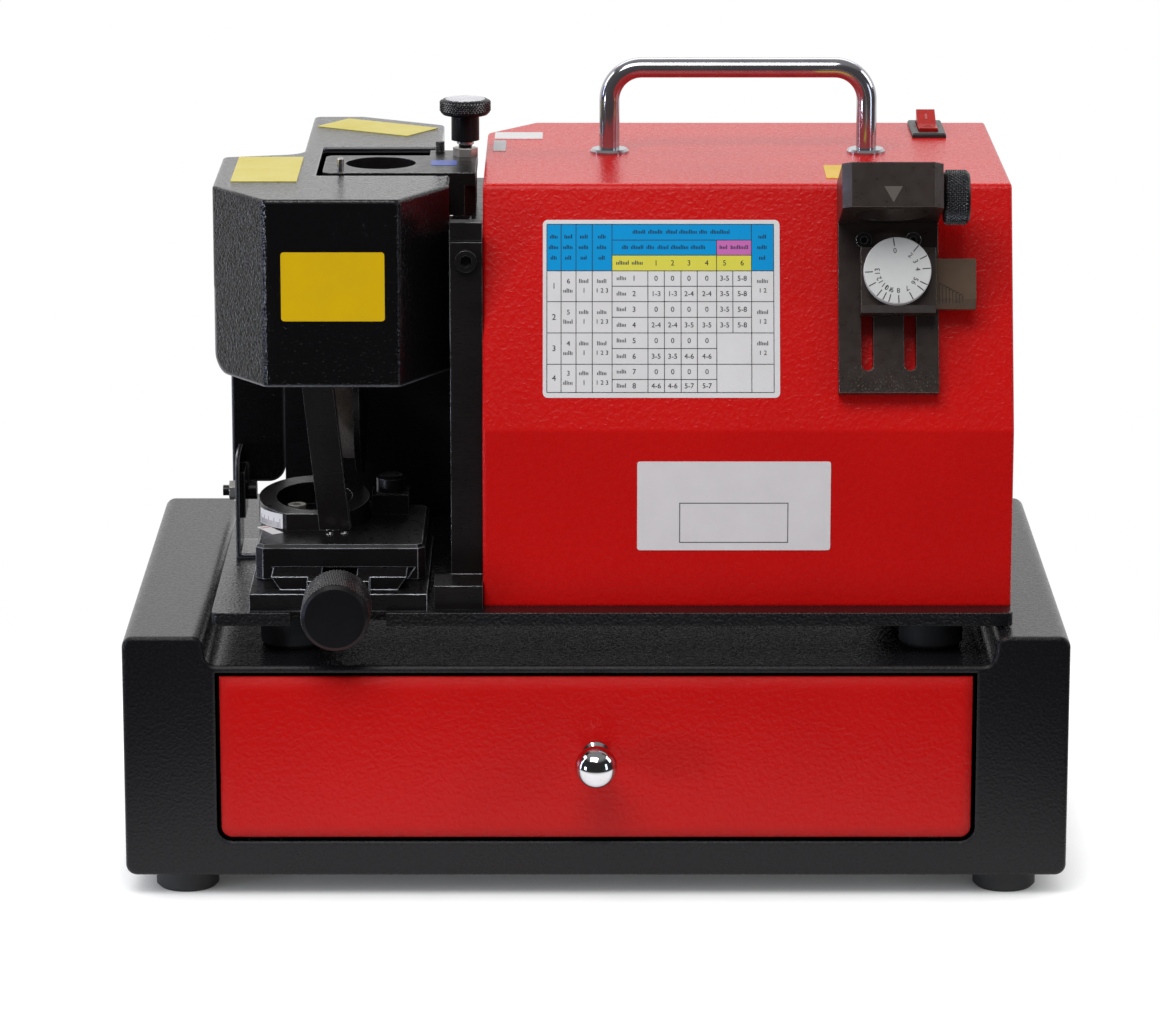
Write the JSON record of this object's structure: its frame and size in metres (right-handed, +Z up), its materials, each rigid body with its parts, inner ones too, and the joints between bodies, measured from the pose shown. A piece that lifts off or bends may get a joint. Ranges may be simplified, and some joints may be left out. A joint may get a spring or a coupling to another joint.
{
  "type": "end mill grinder",
  "caption": "Bench grinder for resharpening end mills: a guarded wheel with chuck ports and a feed slide beside a leaning red motor cover, on a drawer cabinet.",
  "frame": {"origin": "on the bench, under the middle of the whole object's box", "axes": "+X to the right and +Y to the back as the operator sees it, +Z up"},
  "size_m": [0.425, 0.298, 0.36],
  "materials": {
    "cabinet_black": "fine-textured black powder coat",
    "panel_red": "orange-peel red powder coat",
    "guard_black": "glossy black hammered paint",
    "oxide_black": "black-oxide machined steel",
    "blued_steel": "dark blued machined steel",
    "bright_steel": "ground steel",
    "zinc": "zinc-plated steel",
    "chrome": "polished chrome",
    "rubber_black": "moulded black rubber",
    "knob_black": "black anodised, knurled",
    "abrasive": "bonded grit on a turned hub",
    "motor_grey": "cast aluminium",
    "switch_black": "black moulded plastic",
    "rocker_red": "translucent red plastic",
    "dial_white": "white-faced dial"
  },
  "bodies": {
    "machine": {"cabinet_shell": "cabinet_black", "cabinet_feet": "rubber_black", "drawer_runners": "zinc", "base_plate": "cabinet_black", "machine_feet": "rubber_black", "motor_cover": "panel_red", "carry_handle": "chrome", "handle_flanges": "chrome", "switch_housing": "switch_black", "power_inlet": "switch_black", "inlet_pins": "bright_steel", "motor_body": "motor_grey", "end_plate": "oxide_black", "end_plate_screw": "oxide_black", "spindle_bearings": "bright_steel", "side_shield": "guard_black", "side_bracket": "guard_black", "bracket_screw": "oxide_black", "bracket_nut": "zinc", "port_guide_pins": "bright_steel", "slide_base": "oxide_black", "rear_port_plate": "oxide_black", "rear_port_socket": "oxide_black", "setting_plate": "blued_steel", "fixture_screws": "oxide_black", "setting_block": "blued_steel", "dial_block": "blued_steel"},
    "drawer": {"drawer_box": "cabinet_black", "drawer_front": "panel_red", "drawer_knob": "chrome"},
    "rocker": {"switch_rocker": "rocker_red"},
    "wheel_unit": {"spindle": "bright_steel", "wheel_disc": "bright_steel", "grinding_wheel": "abrasive", "wheel_nut": "oxide_black"},
    "guard": {"wheel_guard": "guard_black"},
    "depth_control": {"depth_knob": "knob_black"},
    "top_port": {"top_port_plate": "oxide_black", "port_locating_pin": "bright_steel", "port_set_screw": "oxide_black", "depth_nut": "zinc"},
    "feed_control": {"feed_screw": "bright_steel", "feed_knob": "knob_black"},
    "carriage": {"slide_carriage": "oxide_black", "feed_nut": "zinc", "gib_strip": "oxide_black", "carriage_boss": "oxide_black", "cradle_screws": "oxide_black"},
    "cradle": {"swivel_cradle": "oxide_black", "guide_bar": "oxide_black", "primary_port_socket": "oxide_black"},
    "clamp_control": {"setting_clamp_knob": "knob_black"},
    "dial": {"setting_dial": "dial_white"},
    "scale": {"scale_bar": "bright_steel"}
  },
  "joints": [
    {"name": "drawer_slide", "type": "slide", "parent": "machine", "child": "drawer", "axis": [0, -1, 0], "range_m": [0, 0.2]},
    {"name": "rocker_tilt", "type": "hinge", "parent": "machine", "child": "rocker", "pos_m": [0.158, 0.089, 0.3167], "axis": [1, 0, 0], "range_deg": [-20, 0]},
    {"name": "wheel_spin", "type": "hinge", "parent": "machine", "child": "wheel_unit", "pos_m": [-0.11, 0.0066, 0.225], "axis": [1, 0, 0], "continuous": true},
    {"name": "guard_lift", "type": "slide", "parent": "machine", "child": "guard", "axis": [0, 0, 1], "range_m": [0, 0.1]},
    {"name": "depth_turn", "type": "hinge", "parent": "machine", "child": "depth_control", "pos_m": [-0.0605, 0.0267, 0.3], "axis": [0, 0, 1], "range_deg": [-345, 345]},
    {"name": "port_lift", "type": "slide", "parent": "machine", "child": "top_port", "axis": [0, 0, 1], "range_m": [-0.001, 0.001]},
    {"name": "feed_turn", "type": "hinge", "parent": "machine", "child": "feed_control", "pos_m": [-0.116, -0.102, 0.1347], "axis": [0, 1, 0], "range_deg": [-850, 850]},
    {"name": "carriage_feed", "type": "slide", "parent": "machine", "child": "carriage", "axis": [0, 1, 0], "range_m": [-0.003, 0.003]},
    {"name": "cradle_swivel", "type": "hinge", "parent": "carriage", "child": "cradle", "pos_m": [-0.13, -0.0265, 0.1535], "axis": [0, 0, 1], "range_deg": [-5, 5]},
    {"name": "clamp_turn", "type": "hinge", "parent": "machine", "child": "clamp_control", "pos_m": [0.1534, -0.08585, 0.31517], "axis": [1, 0, 0], "range_deg": [-360, 360]},
    {"name": "dial_turn", "type": "hinge", "parent": "machine", "child": "dial", "pos_m": [0.134, -0.08944, 0.28189], "axis": [0, -0.9397, 0.342], "range_deg": [0, 262]},
    {"name": "scale_slide", "type": "slide", "parent": "machine", "child": "scale", "axis": [1, 0, 0], "range_m": [0, 0.0131]}
  ],
  "couplings": [
    {"joint": "port_lift", "follows": "depth_turn", "m_per_rad": -0.00015915},
    {"joint": "carriage_feed", "follows": "feed_turn", "m_per_rad": -0.00019894},
    {"joint": "scale_slide", "follows": "dial_turn", "m_per_rad": 0.00284}
  ]
}
